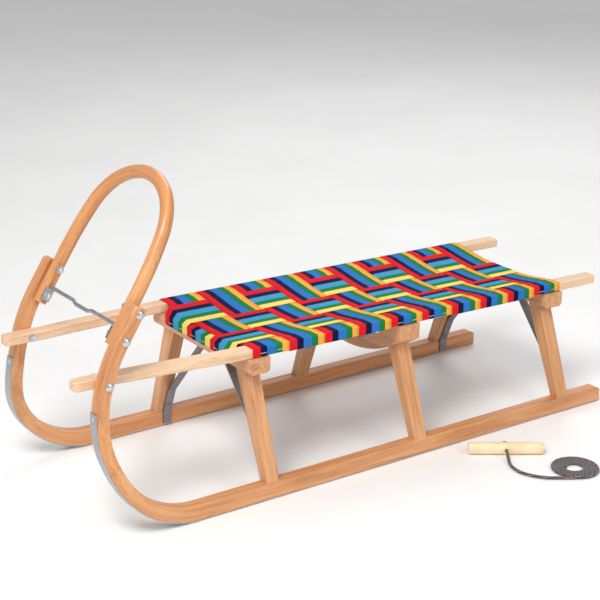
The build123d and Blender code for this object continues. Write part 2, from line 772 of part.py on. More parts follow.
def underside(offset, lift):
    """Height of the cloth's lower face above the rails' underside."""
    return rail_height + strap_clearance - sag(offset) + lift


for k in range(strap_count):
    side_lift = cross_lift(k, 1)
    half = rail_half_width + strap_clearance
    outer_y = 1.5 * long_pitch - strap_gap / 2
    joint_y = long_pitch / 2 + strap_gap / 2
    inner_y = long_pitch / 2 - strap_gap / 2
    if k in stapled_straps:
        start = [(half, 1.0)]
    else:
        start = [(half - strap_tuck, -strap_clearance), (half, -strap_clearance)]
    half_path = start + [
        (half, rail_height + strap_clearance),
        (rail_half_width - rail_width, rail_height + strap_clearance),
        (outer_y, underside(outer_y, side_lift)),
        (joint_y, underside(joint_y, side_lift)),
        (inner_y, underside(0, -side_lift)),
    ]
    full_path = half_path + [(-y, w) for y, w in reversed(half_path)]
    with BuildPart() as strap:
        with BuildSketch(rail_plane(seat_front_x - strap_front(k) * seat_cos)):
            with BuildLine():
                FilletPolyline(*full_path, radius=0.8)
                offset(amount=strap_thickness, side=Side.RIGHT)
            make_face()
        extrude(amount=-strap_width(k))
        if k in stapled_straps:
            add(webbing_staples.part, mode=Mode.SUBTRACT)
    write(strap.part, f"webbing_cross_{k + 1:02d}")

fold_front = (trestle_front_x - seat_front_x) / seat_cos + crossbar_width / 2 + strap_clearance
fold_rear = (trestle_rear_x - seat_front_x) / seat_cos - crossbar_width / 2 - strap_clearance
for number, row in rows.items():
    level = rail_height + strap_clearance - sag(row * long_pitch)
    tilt = atan2(seat_sag - side_sag, long_pitch) * row
    slope = radians(rail_angle)
    front = rail_plane(seat_front_x)
    base = front.from_local_coords((row * long_pitch, level, 0))
    ribbon = Plane(origin=base, x_dir=(cos(slope), 0, sin(slope)),
                   z_dir=(sin(slope) * sin(tilt), -cos(tilt), -cos(slope) * sin(tilt)))
    path_points = [(fold_front, -fold_depth - level), (fold_front, -cross_lift(0, row))]
    for k in range(strap_count):
        lift = -cross_lift(k, row)
        if k > 0:
            path_points.append((-strap_front(k), lift))
        if k < strap_count - 1:
            path_points.append((-strap_front(k) - strap_width(k), lift))
    path_points += [(fold_rear, -cross_lift(strap_count - 1, row)), (fold_rear, -fold_depth - level)]
    with BuildPart() as strap:
        with BuildSketch(ribbon):
            with BuildLine():
                FilletPolyline(*path_points, radius=0.8)
                offset(amount=strap_thickness, side=Side.RIGHT)
            make_face()
        extrude(amount=long_width / 2, both=True)
        add(webbing_staples.part, mode=Mode.SUBTRACT)
    write(strap.part, f"webbing_long_{number}")

# ---------------------------------------------------------------- toggle, knot and rope
turn = radians(toggle_turn)
toggle_plane = Plane(origin=(toggle_x, toggle_y, 0), x_dir=(cos(turn), sin(turn), 0), z_dir=(0, 0, 1))
across = toggle_plane.y_dir
axis_height = toggle_diameter / 2
toggle_middle = toggle_plane.from_local_coords((0, 0, axis_height))

with BuildPart() as pull_handle:
    with BuildSketch(Plane(origin=toggle_middle, z_dir=toggle_plane.x_dir)):
        Circle(toggle_diameter / 2)
    extrude(amount=toggle_length / 2, both=True)
    fillet(edges().filter_by(GeomType.CIRCLE), toggle_end_radius)
    with BuildSketch(Plane(origin=toggle_middle, z_dir=across)):
        Circle(toggle_hole / 2)
    extrude(amount=toggle_diameter, both=True, mode=Mode.SUBTRACT)
write(pull_handle.part, "pull_handle")

with BuildPart() as rope_knot:
    knot_seat = toggle_plane.from_local_coords((0, toggle_diameter / 2, axis_height))
    with BuildSketch(Plane(origin=knot_seat, z_dir=across)):
        Circle(knot_diameter / 2)
    extrude(amount=knot_length)
    fillet(edges().filter_by(GeomType.CIRCLE), knot_length * 0.3)
write(rope_knot.part, "rope_knot")

with BuildPart() as rope_coil:
    coil_middle = toggle_plane.from_local_coords((coil_along, -coil_away, 0))
    with BuildSketch(Plane(origin=coil_middle, z_dir=(0, 0, 1))):
        Circle(coil_radius)
        Circle(coil_hole_radius, mode=Mode.SUBTRACT)
    extrude(amount=rope_diameter)
    fillet(edges().filter_by(GeomType.CIRCLE), rope_diameter * 0.35)
write(rope_coil.part, "rope_coil")

rope_radius = rope_diameter / 2
landing_y = -coil_away - coil_radius + rope_radius
lead_path = [
    Vector(0, toggle_diameter / 2, axis_height),
    Vector(0, -toggle_diameter, axis_height),
    Vector(coil_along * 0.01, -toggle_diameter * 2.2, rope_radius),
    Vector(coil_along * 0.13, landing_y * 0.78, rope_radius),
    Vector(coil_along * 0.45, landing_y * 0.985, rope_radius),
    Vector(coil_along * 0.88, landing_y, rope_radius),
]


def bend_radii(points):
    """Bend radius at each inner corner, as wide as the shorter of its two runs allows."""
    radii = []
    for before, corner, after in zip(points, points[1:], points[2:]):
        run = min((corner - before).length, (after - corner).length)
        half_turn = radians((corner - before).get_angle(after - corner)) / 2
        radii.append(0.45 * run / tan(half_turn))
    return radii


lead_points = [toggle_plane.from_local_coords(point) for point in lead_path]
lead_radii = bend_radii(lead_points)
with BuildPart() as rope_lead:
    with BuildLine() as lead_line:
        FilletPolyline(*lead_points, radius=lead_radii)
    with BuildSketch(Plane(origin=lead_line.line @ 0, z_dir=lead_line.line % 0)):
        Circle(rope_radius)
    sweep(path=lead_line.line)
    whole_volume = rope_lead.part.volume
    add(rope_coil.part, mode=Mode.SUBTRACT)
write(rope_lead.part, "rope_lead")
print("rope lead: length", round(lead_line.wire().length, 1), "bend radii", [round(r, 1) for r in lead_radii])
print("rope lead: volume", round(whole_volume, 1), "section by length",
      round(pi * rope_radius ** 2 * lead_line.wire().length, 1))
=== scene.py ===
# %% [markdown]
# # A horned toboggan with a woven seat
# The sledge has two runners, each bent from one board, that curl up into horns. Three trestles
# carry two side rails, and a seat of striped webbing is woven between the rails. A round bent
# arch joins the horns. A loose rope with a toggle lies beside it. The solid parts come from the
# CAD model, which stays exactly where it is; the soft parts are made here.

# %% Load the fixed frame
import math

import bpy
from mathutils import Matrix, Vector


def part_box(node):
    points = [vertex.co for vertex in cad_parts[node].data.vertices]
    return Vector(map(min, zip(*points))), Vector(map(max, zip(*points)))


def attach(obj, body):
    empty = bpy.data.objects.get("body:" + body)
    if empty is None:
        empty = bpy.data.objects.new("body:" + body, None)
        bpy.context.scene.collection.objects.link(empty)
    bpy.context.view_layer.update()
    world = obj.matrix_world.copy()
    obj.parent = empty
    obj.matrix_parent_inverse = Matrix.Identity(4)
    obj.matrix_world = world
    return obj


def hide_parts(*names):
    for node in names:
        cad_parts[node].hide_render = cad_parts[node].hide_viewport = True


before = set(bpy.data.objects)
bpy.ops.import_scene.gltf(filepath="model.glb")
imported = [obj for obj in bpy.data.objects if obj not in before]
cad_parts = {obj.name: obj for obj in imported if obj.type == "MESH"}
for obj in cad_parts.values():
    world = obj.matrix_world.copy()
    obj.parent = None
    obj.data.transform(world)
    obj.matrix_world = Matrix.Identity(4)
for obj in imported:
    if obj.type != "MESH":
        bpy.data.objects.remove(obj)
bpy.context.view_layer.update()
print("nodes:", len(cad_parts))

# %% [markdown]
# ## The camera
# A camera is a point, a direction and a lens. The direction is given by an azimuth round the
# sledge and a height above the horizon, so the three axes of the camera can be written down
# directly. A long lens keeps the runners nearly parallel.

# %% Camera
AZIMUTH, ELEVATION = math.radians(145.27), math.radians(19.33)
camera_data = bpy.data.cameras.new("camera")
camera_data.lens = 101.6
camera_data.sensor_width = 36.0
camera_data.clip_start, camera_data.clip_end = 0.05, 60.0
camera = bpy.data.objects.new("camera", camera_data)
bpy.context.scene.collection.objects.link(camera)
looking_back = Vector((math.sin(AZIMUTH) * math.cos(ELEVATION),
                       -math.cos(AZIMUTH) * math.cos(ELEVATION), math.sin(ELEVATION)))
camera.location = (1.5795, 2.2401, 1.2054)
camera.rotation_mode = "QUATERNION"
camera.rotation_quaternion = (-looking_back).to_track_quat("-Z", "Y")
bpy.context.scene.camera = camera
print("camera at", tuple(round(c, 3) for c in camera.location))

# %% [markdown]
# ## Places taken from the frame
# Most sizes that the soft parts need are read from the boxes of the CAD parts, so the cloth and the rope
# follow the frame if it is rebuilt a little larger or smaller; the cloth's thickness, its clearance and the
# rails' width and height are given as numbers.

# %% Measures of the frame
cross_boxes = [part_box(f"webbing_cross_{k:02d}") for k in range(1, 11)]
long_boxes = [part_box(f"webbing_long_{n}") for n in (1, 2, 3)]
first_high = cross_boxes[0][1]
last_low, last_high = cross_boxes[-1]
coil_low, coil_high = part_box("rope_coil")
knot_low, knot_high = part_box("rope_knot")
handle_low, handle_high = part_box("pull_handle")
PITCH = (long_boxes[2][0].y - long_boxes[0][0].y) / 2
RAIL_SLOPE = (first_high.z - last_high.z) / (first_high.x - last_high.x)
RAIL_OUTER = first_high.y
CLOTH = 0.0014
CLEARANCE = 0.0003
RAIL_WIDTH = 0.0240
RAIL_TALL = 0.0157
print("lengthwise pitch", round(PITCH * 1000, 2), "mm, slope", round(RAIL_SLOPE, 4))


def top_of_rails(x):
    """Height of the rails' upper face at x."""
    return first_high.z - CLOTH - CLEARANCE + (x - first_high.x) * RAIL_SLOPE


# %% [markdown]
# ## The pull rope
# The rope is one limp cord. It leaves the knot behind the toggle, goes through the toggle's
# hole, drops to the floor and lies in a flat spiral. A NURBS curve with a round bevel is the
# simplest true cord: a loop places the points of the spiral, at least twelve to a turn.

# %% Rope
TURN = math.radians(145.27)
ALONG = Vector((math.cos(TURN), math.sin(TURN), 0))
ACROSS = Vector((-math.sin(TURN), math.cos(TURN), 0))
handle_middle = (handle_low + handle_high) / 2
coil_middle = (coil_low + coil_high) / 2
ROPE = coil_high.z - coil_low.z


def beside_toggle(along, across, height):
    """A point measured from the floor below the toggle's middle, along and across it."""
    flat = Vector((handle_middle.x, handle_middle.y, 0))
    return flat + ALONG * along + ACROSS * across + Vector((0, 0, height))


coil_from_toggle = coil_middle - handle_middle
coil_along, coil_across = coil_from_toggle.dot(ALONG), coil_from_toggle.dot(ACROSS)
OUTER_TURN = (coil_high.x - coil_low.x) / 2 - ROPE / 2
INNER_TURN = 0.0150
TURNS = 4.75
lead = [(0, 0.0105, 0.0105), (0, 0.004, 0.0105), (0, -0.010, 0.0105), (0, -0.021, 0.0101),
        (0.0005, -0.034, 0.0065), (0.0012, -0.046, ROPE / 2 + 0.0002), (0.004, -0.060, ROPE / 2),
        (0.014, -0.080, ROPE / 2), (0.030, -0.092, ROPE / 2), (0.048, -0.1000, ROPE / 2),
        (0.070, -0.1028, ROPE / 2)]
rope_points = [beside_toggle(*p) for p in lead]
steps = int(TURNS * 20)
for i in range(1, steps + 1):
    turned_by = i / steps
    radius = OUTER_TURN + (INNER_TURN - OUTER_TURN) * turned_by
    radius += 0.0004 * math.sin(2.3 * i * 0.31) * (1 - turned_by)
    angle = -math.pi / 2 + 2 * math.pi * TURNS * turned_by
    rope_points.append(beside_toggle(coil_along + radius * math.cos(angle),
                                     coil_across + radius * math.sin(angle), ROPE / 2))
rope_data = bpy.data.curves.new("pull_rope", "CURVE")
rope_data.dimensions = "3D"
rope_data.bevel_depth = ROPE / 2
rope_data.bevel_resolution = 5
rope_data.resolution_u = 6
rope_data.use_fill_caps = True
line = rope_data.splines.new("NURBS")
line.points.add(len(rope_points) - 1)
for point, place in zip(line.points, rope_points):
    point.co = (*place, 1)
line.order_u = 3
line.use_endpoint_u = True
pull_rope = bpy.data.objects.new("pull_rope", rope_data)
bpy.context.scene.collection.objects.link(pull_rope)
rope_length = sum((b - a).length for a, b in zip(rope_points, rope_points[1:]))
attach(pull_rope, "root")
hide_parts("rope_lead", "rope_coil")
print("rope length", round(rope_length, 3), "m")

# %% [markdown]
# ## Working with sockets
# A shader is a net of nodes. Writing `grain * 0.3 + 0.1` is far easier to read than wiring two
# Math nodes, so a small class wraps a socket and adds the Math node for each operator.

# %% A socket that does arithmetic
class Wire:
    """A node's output that can be added to, multiplied and compared."""

    def __init__(self, shop, socket):
        self.shop, self.socket = shop, socket

    def _math(self, operation, *values):
        return self.shop.node("ShaderNodeMath", {"operation": operation},
                              {i: v for i, v in enumerate(values)})

    def __add__(self, other): return self._math("ADD", self, other)
    def __radd__(self, other): return self._math("ADD", other, self)
    def __sub__(self, other): return self._math("SUBTRACT", self, other)
    def __rsub__(self, other): return self._math("SUBTRACT", other, self)
    def __mul__(self, other): return self._math("MULTIPLY", self, other)
    def __rmul__(self, other): return self._math("MULTIPLY", other, self)
    def __truediv__(self, other): return self._math("DIVIDE", self, other)
    def __gt__(self, other): return self._math("GREATER_THAN", self, other)
    def __lt__(self, other): return self._math("LESS_THAN", self, other)
    def fraction(self): return self._math("FRACT", self)
    def sine(self): return self._math("SINE", self)
    def size(self): return self._math("ABSOLUTE", self)
    def root(self): return self._math("SQRT", self)
    def angle_from(self, other): return self._math("ARCTAN2", self, other)


# %% [markdown]
# One method makes any node: its settings first, because some settings change which sockets it
# has, and then the values and links of its sockets.

# %% A workshop for one material
class Shop:
    """Builds one material out of nodes."""

    def __init__(self, name):
        self.material = bpy.data.materials.new(name)
        self.material.use_nodes = True
        self.tree = self.material.node_tree
        self.tree.nodes.clear()

    def node(self, kind, settings=None, inputs=None, output=0):
        made = self.tree.nodes.new(kind)
        for key, value in (settings or {}).items():
            if key == "stops":
                ramp = made.color_ramp
                while len(ramp.elements) < len(value):
                    ramp.elements.new(0.5)
                for element, (place, colour) in zip(ramp.elements, value):
                    element.position = place
                    element.color = (*colour, 1)
            elif key == "steps":
                made.color_ramp.interpolation = value
            else:
                setattr(made, key, value)
        for key, value in (inputs or {}).items():
            if isinstance(value, Wire):
                self.tree.links.new(value.socket, made.inputs[key])
            elif isinstance(value, tuple) and len(value) == 3 and made.inputs[key].type == "RGBA":
                made.inputs[key].default_value = (*value, 1)
            else:
                made.inputs[key].default_value = value
        return Wire(self, made.outputs[output])

    def place(self):
        """The point in the part's own frame, as three numbers."""
        where = self.node("ShaderNodeTexCoord", output="Object")
        split = self.node("ShaderNodeSeparateXYZ", None, {0: where})
        parts = split.socket.node.outputs
        return where, Wire(self, parts[0]), Wire(self, parts[1]), Wire(self, parts[2])

    def point(self, x, y, z):
        return self.node("ShaderNodeCombineXYZ", None, {0: x, 1: y, 2: z})

    def noise(self, where, scale, detail=3.0, rough=0.55, bend=0.0):
        return self.node("ShaderNodeTexNoise", None, {"Vector": where, "Scale": scale,
                         "Detail": detail, "Roughness": rough, "Distortion": bend})

    def mix(self, share, first, second, blend="MIX"):
        return self.node("ShaderNodeMix", {"data_type": "RGBA", "blend_type": blend},
                         {0: share, 6: first, 7: second}, output=2)

    def ramp(self, share, stops, steps="LINEAR"):
        return self.node("ShaderNodeValToRGB", {"stops": stops, "steps": steps}, {0: share})

    def spread(self, value, low, high, to_low=0.0, to_high=1.0):
        return self.node("ShaderNodeMapRange", None, {0: value, 1: low, 2: high, 3: to_low, 4: to_high})

    def bump(self, height, depth, strength=1.0):
        return self.node("ShaderNodeBump", None, {"Height": height, "Distance": depth, "Strength": strength})

    def finish(self, **sockets):
        """Closes the material with one Principled shader. Names use _ for a space."""
        values = {name.replace("_", " "): value for name, value in sockets.items()}
        surface = self.node("ShaderNodeBsdfPrincipled", None, values)
        out = self.tree.nodes.new("ShaderNodeOutputMaterial")
        self.tree.links.new(surface.socket, out.inputs[0])
        return self.material


def light(red, green, blue):
    """A colour as a painter reads it on a screen, 0 to 255, turned into light."""
    return tuple(((c / 255 + 0.055) / 1.055) ** 2.4 if c > 10 else c / 255 / 12.92
                 for c in (red, green, blue))


# %% [markdown]
# ## Varnished ash and beech
# The wood has long grain. On a bent board the grain follows the bend, so the runners need a
# coordinate that runs round the curl with them. Each wood is a fine streak pattern stretched
# along the grain, with broader bands, pores and a clear coat of varnish.

# %% Wood from a grain coordinate
def varnished_wood(name, grain_of, pale, middle, dark):
    """Varnished wood; grain_of gives the distances along and across the grain, in metres."""
    shop = Shop(name)
    where, x, y, z = shop.place()
    along, across, deep = grain_of(shop, x, y, z)
    long_grain = shop.point(along * 5.0, across * 95.0, deep * 95.0)
    fine_grain = shop.point(along * 14.0, across * 520.0, deep * 520.0)
    pores = shop.point(along * 60.0, across * 1100.0, deep * 1100.0)
    bands = shop.noise(long_grain, 1.0, 4.0, 0.55, 0.7)
    streaks = shop.noise(fine_grain, 1.0, 3.0, 0.6, 0.2)
    pits = shop.noise(pores, 1.0, 1.0, 0.5)
    patches = shop.noise(where, 6.0, 2.0)
    tone = bands * 0.55 + streaks * 0.30 + patches * 0.15
    colour = shop.ramp(tone, [(0.30, dark), (0.47, middle), (0.66, pale)])
    pit_mask = shop.spread(pits, 0.62, 0.74)
    colour = shop.mix(pit_mask * 0.35, colour, tuple(c * 0.45 for c in dark))
    height = streaks * 0.5 + bands * 0.4 - pit_mask * 0.5
    rough = 0.34 + streaks * 0.14 + patches * 0.06
    return shop.finish(Base_Color=colour, Roughness=rough, Normal=shop.bump(height, 0.00012, 0.55),
                       Coat_Weight=0.35, Coat_Roughness=0.16, IOR=1.48)


# %% [markdown]
# The runner's board is straight along the floor, bends a quarter turn, and leans back in the
# horn. Its three stretches share one coordinate: the way along the board, and the depth under
# its outer face.

# %% Grain along each part
runner_low, runner_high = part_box("runner_left")
SHOE = runner_low.z
BEND_Z = 0.165
BEND_R = BEND_Z - SHOE
BEND_X = runner_high.x - BEND_R
HORN_R = 0.278
HORN_X = runner_high.x - HORN_R


def along_runner(shop, x, y, z):
    """Way along and depth in a bent runner."""
    to_bend = x - BEND_X
    below = BEND_Z - z
    bend_radius = (to_bend * to_bend + below * below).root()
    bend_angle = to_bend.angle_from(below)
    to_horn = x - HORN_X
    horn_radius = (to_horn * to_horn + below * below).root()
    horn_angle = (z - BEND_Z).angle_from(to_horn)
    curled = (x > BEND_X) * (z < BEND_Z)
    raised = z > BEND_Z
    flat = (1 - curled) * (1 - raised)
    way = flat * x + curled * (BEND_X + bend_angle * BEND_R) + raised * (
        BEND_X + BEND_R * math.pi / 2 + horn_angle * HORN_R)
    depth = flat * (z - SHOE) + curled * (BEND_R - bend_radius) + raised * (HORN_R - horn_radius)
    return way, y, depth


def along_x(shop, x, y, z):
    return x, y, z


def along_y(shop, x, y, z):
    return y, x, z


def along_leg(shop, x, y, z):
    """Legs splay outwards, the same on both sides."""
    side = y.size()
    return z - side * 0.35, x, side + z * 0.35


arch_low, arch_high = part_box("horn_arch")
LEAN = math.radians(33)


def along_arch(shop, x, y, z):
    """Round the arch: an angle about a point low in its leaning plane, and the way out from it."""
    up = (z - arch_low.z) * math.cos(LEAN) - (x - arch_high.x) * math.sin(LEAN) - 0.16
    out = (x - arch_high.x) * math.cos(LEAN) + (z - arch_low.z) * math.sin(LEAN)
    side = y.size()
    crown = up > 0.0
    radius = (side * side + up * up).root()
    way = crown * (up.angle_from(side) * 0.10) + (1 - crown) * up
    return way, crown * radius + (1 - crown) * side, out


honey_runner = varnished_wood("honey_runner", along_runner,
                              light(224, 168, 116), light(204, 140, 88), light(162, 96, 52))
honey_leg = varnished_wood("honey_leg", along_leg,
                           light(222, 170, 122), light(202, 144, 96), light(160, 100, 60))
honey_bar = varnished_wood("honey_bar", along_y,
                           light(220, 168, 122), light(200, 142, 96), light(160, 98, 60))
honey_arch = varnished_wood("honey_arch", along_arch,
                            light(222, 164, 110), light(202, 136, 82), light(160, 92, 48))
pale_rail = varnished_wood("pale_rail", along_x,
                           light(238, 206, 174), light(224, 186, 150), light(192, 146, 108))
print("woods made")

# %% [markdown]
# ## Steel
# The shoes, braces and pull bar are zinc-plated strip and the bolts are plated too: a soft,
# slightly cloudy shine, with fine brushing and a few darker marks.

# %% Plated steel
def plated_steel(name, tint, base_rough):
    shop = Shop(name)
    where, x, y, z = shop.place()
    cloud = shop.noise(where, 70.0, 4.0, 0.6)
    brushing = shop.noise(shop.point(x * 60.0, y * 900.0, z * 900.0), 1.0, 2.0)
    marks = shop.spread(shop.noise(where, 210.0, 2.0, 0.7), 0.60, 0.74)
    shade = shop.ramp(cloud, [(0.3, tuple(c * 0.78 for c in tint)), (0.7, tint)])
    shade = shop.mix(marks * 0.5, shade, tuple(c * 0.45 for c in tint))
    rough = base_rough + cloud * 0.16 + brushing * 0.10 + marks * 0.15
    height = brushing * 0.5 + cloud * 0.4 - marks * 0.3
    return shop.finish(Base_Color=shade, Metallic=1.0, Roughness=rough,
                       Normal=shop.bump(height, 0.00005, 0.5))


strip_steel = plated_steel("strip_steel", light(188, 189, 193), 0.28)
brace_steel = plated_steel("brace_steel", light(150, 148, 150), 0.36)
bolt_steel = plated_steel("bolt_steel", light(214, 214, 216), 0.18)

# %% [markdown]
# ## Dress the CAD parts
# Materials are assigned to the CAD parts; nothing else about them changes.

# %% Materials on the solid parts
def dress(node_name, material):
    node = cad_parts[node_name]
    node.data.materials.clear()
    node.data.materials.append(material)


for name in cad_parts:
    if name.startswith("brace_"):
        dress(name, brace_steel)
    elif name.startswith("runner_shoe") or name == "pull_bar":
        dress(name, strip_steel)
    elif name.startswith(("arch_", "rail_bolts", "rail_nuts", "rail_washers", "rail_screws", "shoe_screws",
                          "webbing_staples")):
        dress(name, bolt_steel)
    elif name.startswith("runner_"):
        dress(name, honey_runner)
    elif name.startswith("leg_"):
        dress(name, honey_leg)
    elif name.startswith("crossbar_"):
        dress(name, honey_bar)
    elif name == "horn_arch":
        dress(name, honey_arch)
    elif name.startswith("side_rail"):
        dress(name, pale_rail)

# %% [markdown]
# ## Striped webbing
# Each strap is woven from coloured warp threads, so its stripes run the whole length: red,
# navy, blue, green and yellow. The colours come from the way across the strap, stored as a UV
# coordinate, and a fine twill of ribs and threads gives the weave its relief.

# %% Webbing material
RIB = 0.0021
YARN = 0.00105


def striped_webbing(name, stripes, strap_width):
    """stripes lists (start of the stripe from 0 to 1, colour)."""
    shop = Shop(name)
    uv = shop.node("ShaderNodeUVMap", {"uv_map": "cloth"})
    split = shop.node("ShaderNodeSeparateXYZ", None, {0: uv})
    u, v = Wire(shop, split.socket.node.outputs[0]), Wire(shop, split.socket.node.outputs[1])
    wobble = shop.noise(shop.point(u * 3.0, v * 40.0, 0.0), 1.0, 2.0)
    thread = u * strap_width
    colour = shop.ramp(u + (wobble - 0.5) * 0.006, stripes, "CONSTANT")
    ribs = (v * (2 * math.pi / RIB) + (thread * (2 * math.pi / RIB)).sine() * 1.3).sine()
    yarns = (thread * (2 * math.pi / YARN)).sine()
    fuzz = shop.noise(shop.point(thread * 900.0, v * 900.0, 0.0), 1.0, 3.0, 0.7)
    worn = shop.noise(shop.point(thread * 30.0, v * 30.0, 0.0), 1.0, 3.0)
    shade = ribs * 0.06 + yarns * 0.05 + fuzz * 0.30 + worn * 0.16 + 0.70
    colour = shop.mix(1.0, colour, shop.point(shade, shade, shade), "MULTIPLY")
    height = ribs * 0.40 + yarns * 0.25 + fuzz * 0.35
    return shop.finish(Base_Color=colour, Roughness=0.66 + fuzz * 0.25, Specular_IOR_Level=0.16,
                       Normal=shop.bump(height, 0.00030, 0.8))


RED, NAVY = light(224, 20, 36), light(12, 10, 62)
BLUE, TEAL = light(42, 118, 196), light(64, 156, 200)
GREEN, AMBER, YELLOW = light(20, 126, 64), light(246, 176, 66), light(250, 220, 116)
cross_webbing = striped_webbing("cross_webbing", [
    (0.0, RED), (0.20, NAVY), (0.38, BLUE), (0.62, GREEN), (0.80, AMBER)], 0.064)
long_webbing = striped_webbing("long_webbing", [
    (0.0, RED), (0.20, NAVY), (0.38, TEAL), (0.62, GREEN), (0.80, YELLOW)], 0.069)

# %% [markdown]
# ## The woven seat
# A strap could be a cloth simulation, but it is stretched over the rails and hardly moves, so
# its surface can be written down: the height falls in a shallow curve between the rails, and
# each strap rises over one neighbour and dips under the next. A strap is a flat tube: rings of
# points go round its section, and the rings follow the strap's line.

# %% Shape of the seat
ROWS = (-1, 0, 1)
LIFT = 0.00095
SAG = 0.0125
EASE = 0.0045
OVERSIZE = 0.0014
FOLD = 0.0025
TUCK = 0.018


def smooth(t):
    t = min(max(t, 0.0), 1.0)
    return t * t * (3 - 2 * t)


def sag(y):
    """How far the cloth hangs below the rails' tops, at a distance from the middle."""
    span = RAIL_OUTER - RAIL_WIDTH
    share = min(abs(y) / span, 1.0)
    return SAG * (1 - share ** 2.2)


def over(k, row):
    """1 where crosswise strap k lies over lengthwise strap row, and -1 where it dips under."""
    return 1 if (k + row) % 2 == 0 else -1


def woven(way, bounds_list, signs):
    """Smooth rise and dip along a strap: one sign between each pair of bounds."""
    value = signs[0]
    for edge, (before, after) in zip(bounds_list, zip(signs, signs[1:])):
        step = smooth((way - edge + EASE) / (2 * EASE))
        value += (after - before) * step
    return value


def strap_mesh(name, line, wide, width_way, across_count, material, puff):
    """A flat tube of cloth. line lists (place, up) pairs; puff bows its middle up a little."""
    vertices, faces, uv_rows = [], [], []
    travelled = 0.0
    ring = 2 * across_count
    for i, (place, up) in enumerate(line):
        if i:
            travelled += (place - line[i - 1][0]).length
        for j in range(ring):
            top = j < across_count
            step = j if top else ring - 1 - j
            share = step / (across_count - 1)
            edge = min(share, 1 - share) * wide
            thick = CLOTH / 2 * min(1.0, math.sqrt(max(edge, 0.00003) / 0.0011))
            bow = puff * (1 - (2 * share - 1) ** 4)
            shift = width_way(place, share - 0.5)
            vertices.append(shift + up * ((thick if top else -thick) + bow))
            uv_rows.append((share, travelled))
    for i in range(len(line) - 1):
        for j in range(ring):
            nxt = (j + 1) % ring
            faces.append((i * ring + j, i * ring + nxt, (i + 1) * ring + nxt, (i + 1) * ring + j))
    faces.append(tuple(reversed(range(ring))))
    last = (len(line) - 1) * ring
    faces.append(tuple(last + j for j in range(ring)))
    mesh = bpy.data.meshes.new(name)
    mesh.from_pydata([tuple(v) for v in vertices], [], faces)
    layer = mesh.uv_layers.new(name="cloth")
    for loop in mesh.loops:
        layer.data[loop.index].uv = uv_rows[loop.vertex_index]
    for face in mesh.polygons:
        face.use_smooth = len(face.vertices) == 4
    mesh.materials.append(material)
    strap = bpy.data.objects.new(name, mesh)
    bpy.context.scene.collection.objects.link(strap)
    return strap


def with_ups(points, facing):
    """Adds to each point the outward normal of the line there; facing points across the strap."""
    pairs = []
    for i, point in enumerate(points):
        ahead = points[min(i + 1, len(points) - 1)] - points[max(i - 1, 0)]
        pairs.append((point, facing.cross(ahead).normalized()))
    return pairs


# %% [markdown]
# ### Crosswise straps
# Ten straps go from rail to rail. Most of them turn down round the rail and tuck under it. Where
# a crossbar is in the way, the strap ends on the rail's outer face and is stapled there.

# %% Crosswise straps
def rounded_turn(middle, start, end, radius, count=5):
    """Points of a rounded corner in an upright plane across the rails: angles in degrees."""
    points = []
    for i in range(count + 1):
        angle = math.radians(start + (end - start) * i / count)
        points.append((middle[0] + radius * math.cos(angle), middle[1] + radius * math.sin(angle)))
    return points


SLOPE_WAY = Vector((1, 0, RAIL_SLOPE)).normalized()
STEPS_ACROSS = 120
row_bounds = [-PITCH * 1.5, -PITCH / 2, PITCH / 2, PITCH * 1.5]
for k in range(10):
    low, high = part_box(f"webbing_cross_{k + 1:02d}")
    x_middle = (low.x + high.x) / 2
    rail_top = top_of_rails(x_middle)
    half_y = RAIL_OUTER - CLOTH / 2
    lift_signs = [over(k, row) for row in ROWS]
    flat_points = []
    inner = RAIL_OUTER - RAIL_WIDTH - 0.001
    for i in range(STEPS_ACROSS + 1):
        y = inner - 2 * inner * i / STEPS_ACROSS
        lift = 0.0
        if abs(y) < PITCH * 1.5 + EASE:
            lift = woven(y, row_bounds, [0] + lift_signs + [0]) * LIFT
        flat_points.append((y, rail_top + CLEARANCE + CLOTH / 2 - sag(y) + lift))
    corner = rounded_turn((half_y - FOLD, rail_top + CLEARANCE + CLOTH / 2 - FOLD), 0, 90, FOLD)
    tucked = low.z < rail_top - RAIL_TALL - 0.0005
    under = rail_top - RAIL_TALL - CLEARANCE - CLOTH / 2
    if tucked:
        half = [(half_y - TUCK + TUCK / 10 * i, under) for i in range(9)]
        half += rounded_turn((half_y - FOLD, under + FOLD), -90, 0, FOLD)
    else:
        half = [(half_y, rail_top - RAIL_TALL + 0.0018)]
    half += [(half_y, under + 0.0045 + 0.0025 * i) for i in range(4)]
    half = half + corner
    path = half + flat_points + [(-y, z) for y, z in reversed(half)]
    points = [Vector((x_middle, y, z)) for y, z in path]
    line = with_ups(points, Vector((1, 0, 0)))

    wide = high.x - low.x + OVERSIZE

    def across(place, share, wide=wide):
        return place - SLOPE_WAY * (share * wide)

    strap = strap_mesh(f"cross_strap_{k + 1:02d}", line, wide, across, 11, cross_webbing, 0.00025)
    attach(strap, "root")
    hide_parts(f"webbing_cross_{k + 1:02d}")
print("crosswise straps made")

# %% [markdown]
# ### Lengthwise straps
# Three straps run from the front crossbar to the rear one. They turn down over the faces of the
# crossbars and are stapled there. Each follows the hang of the cloth across its own width.

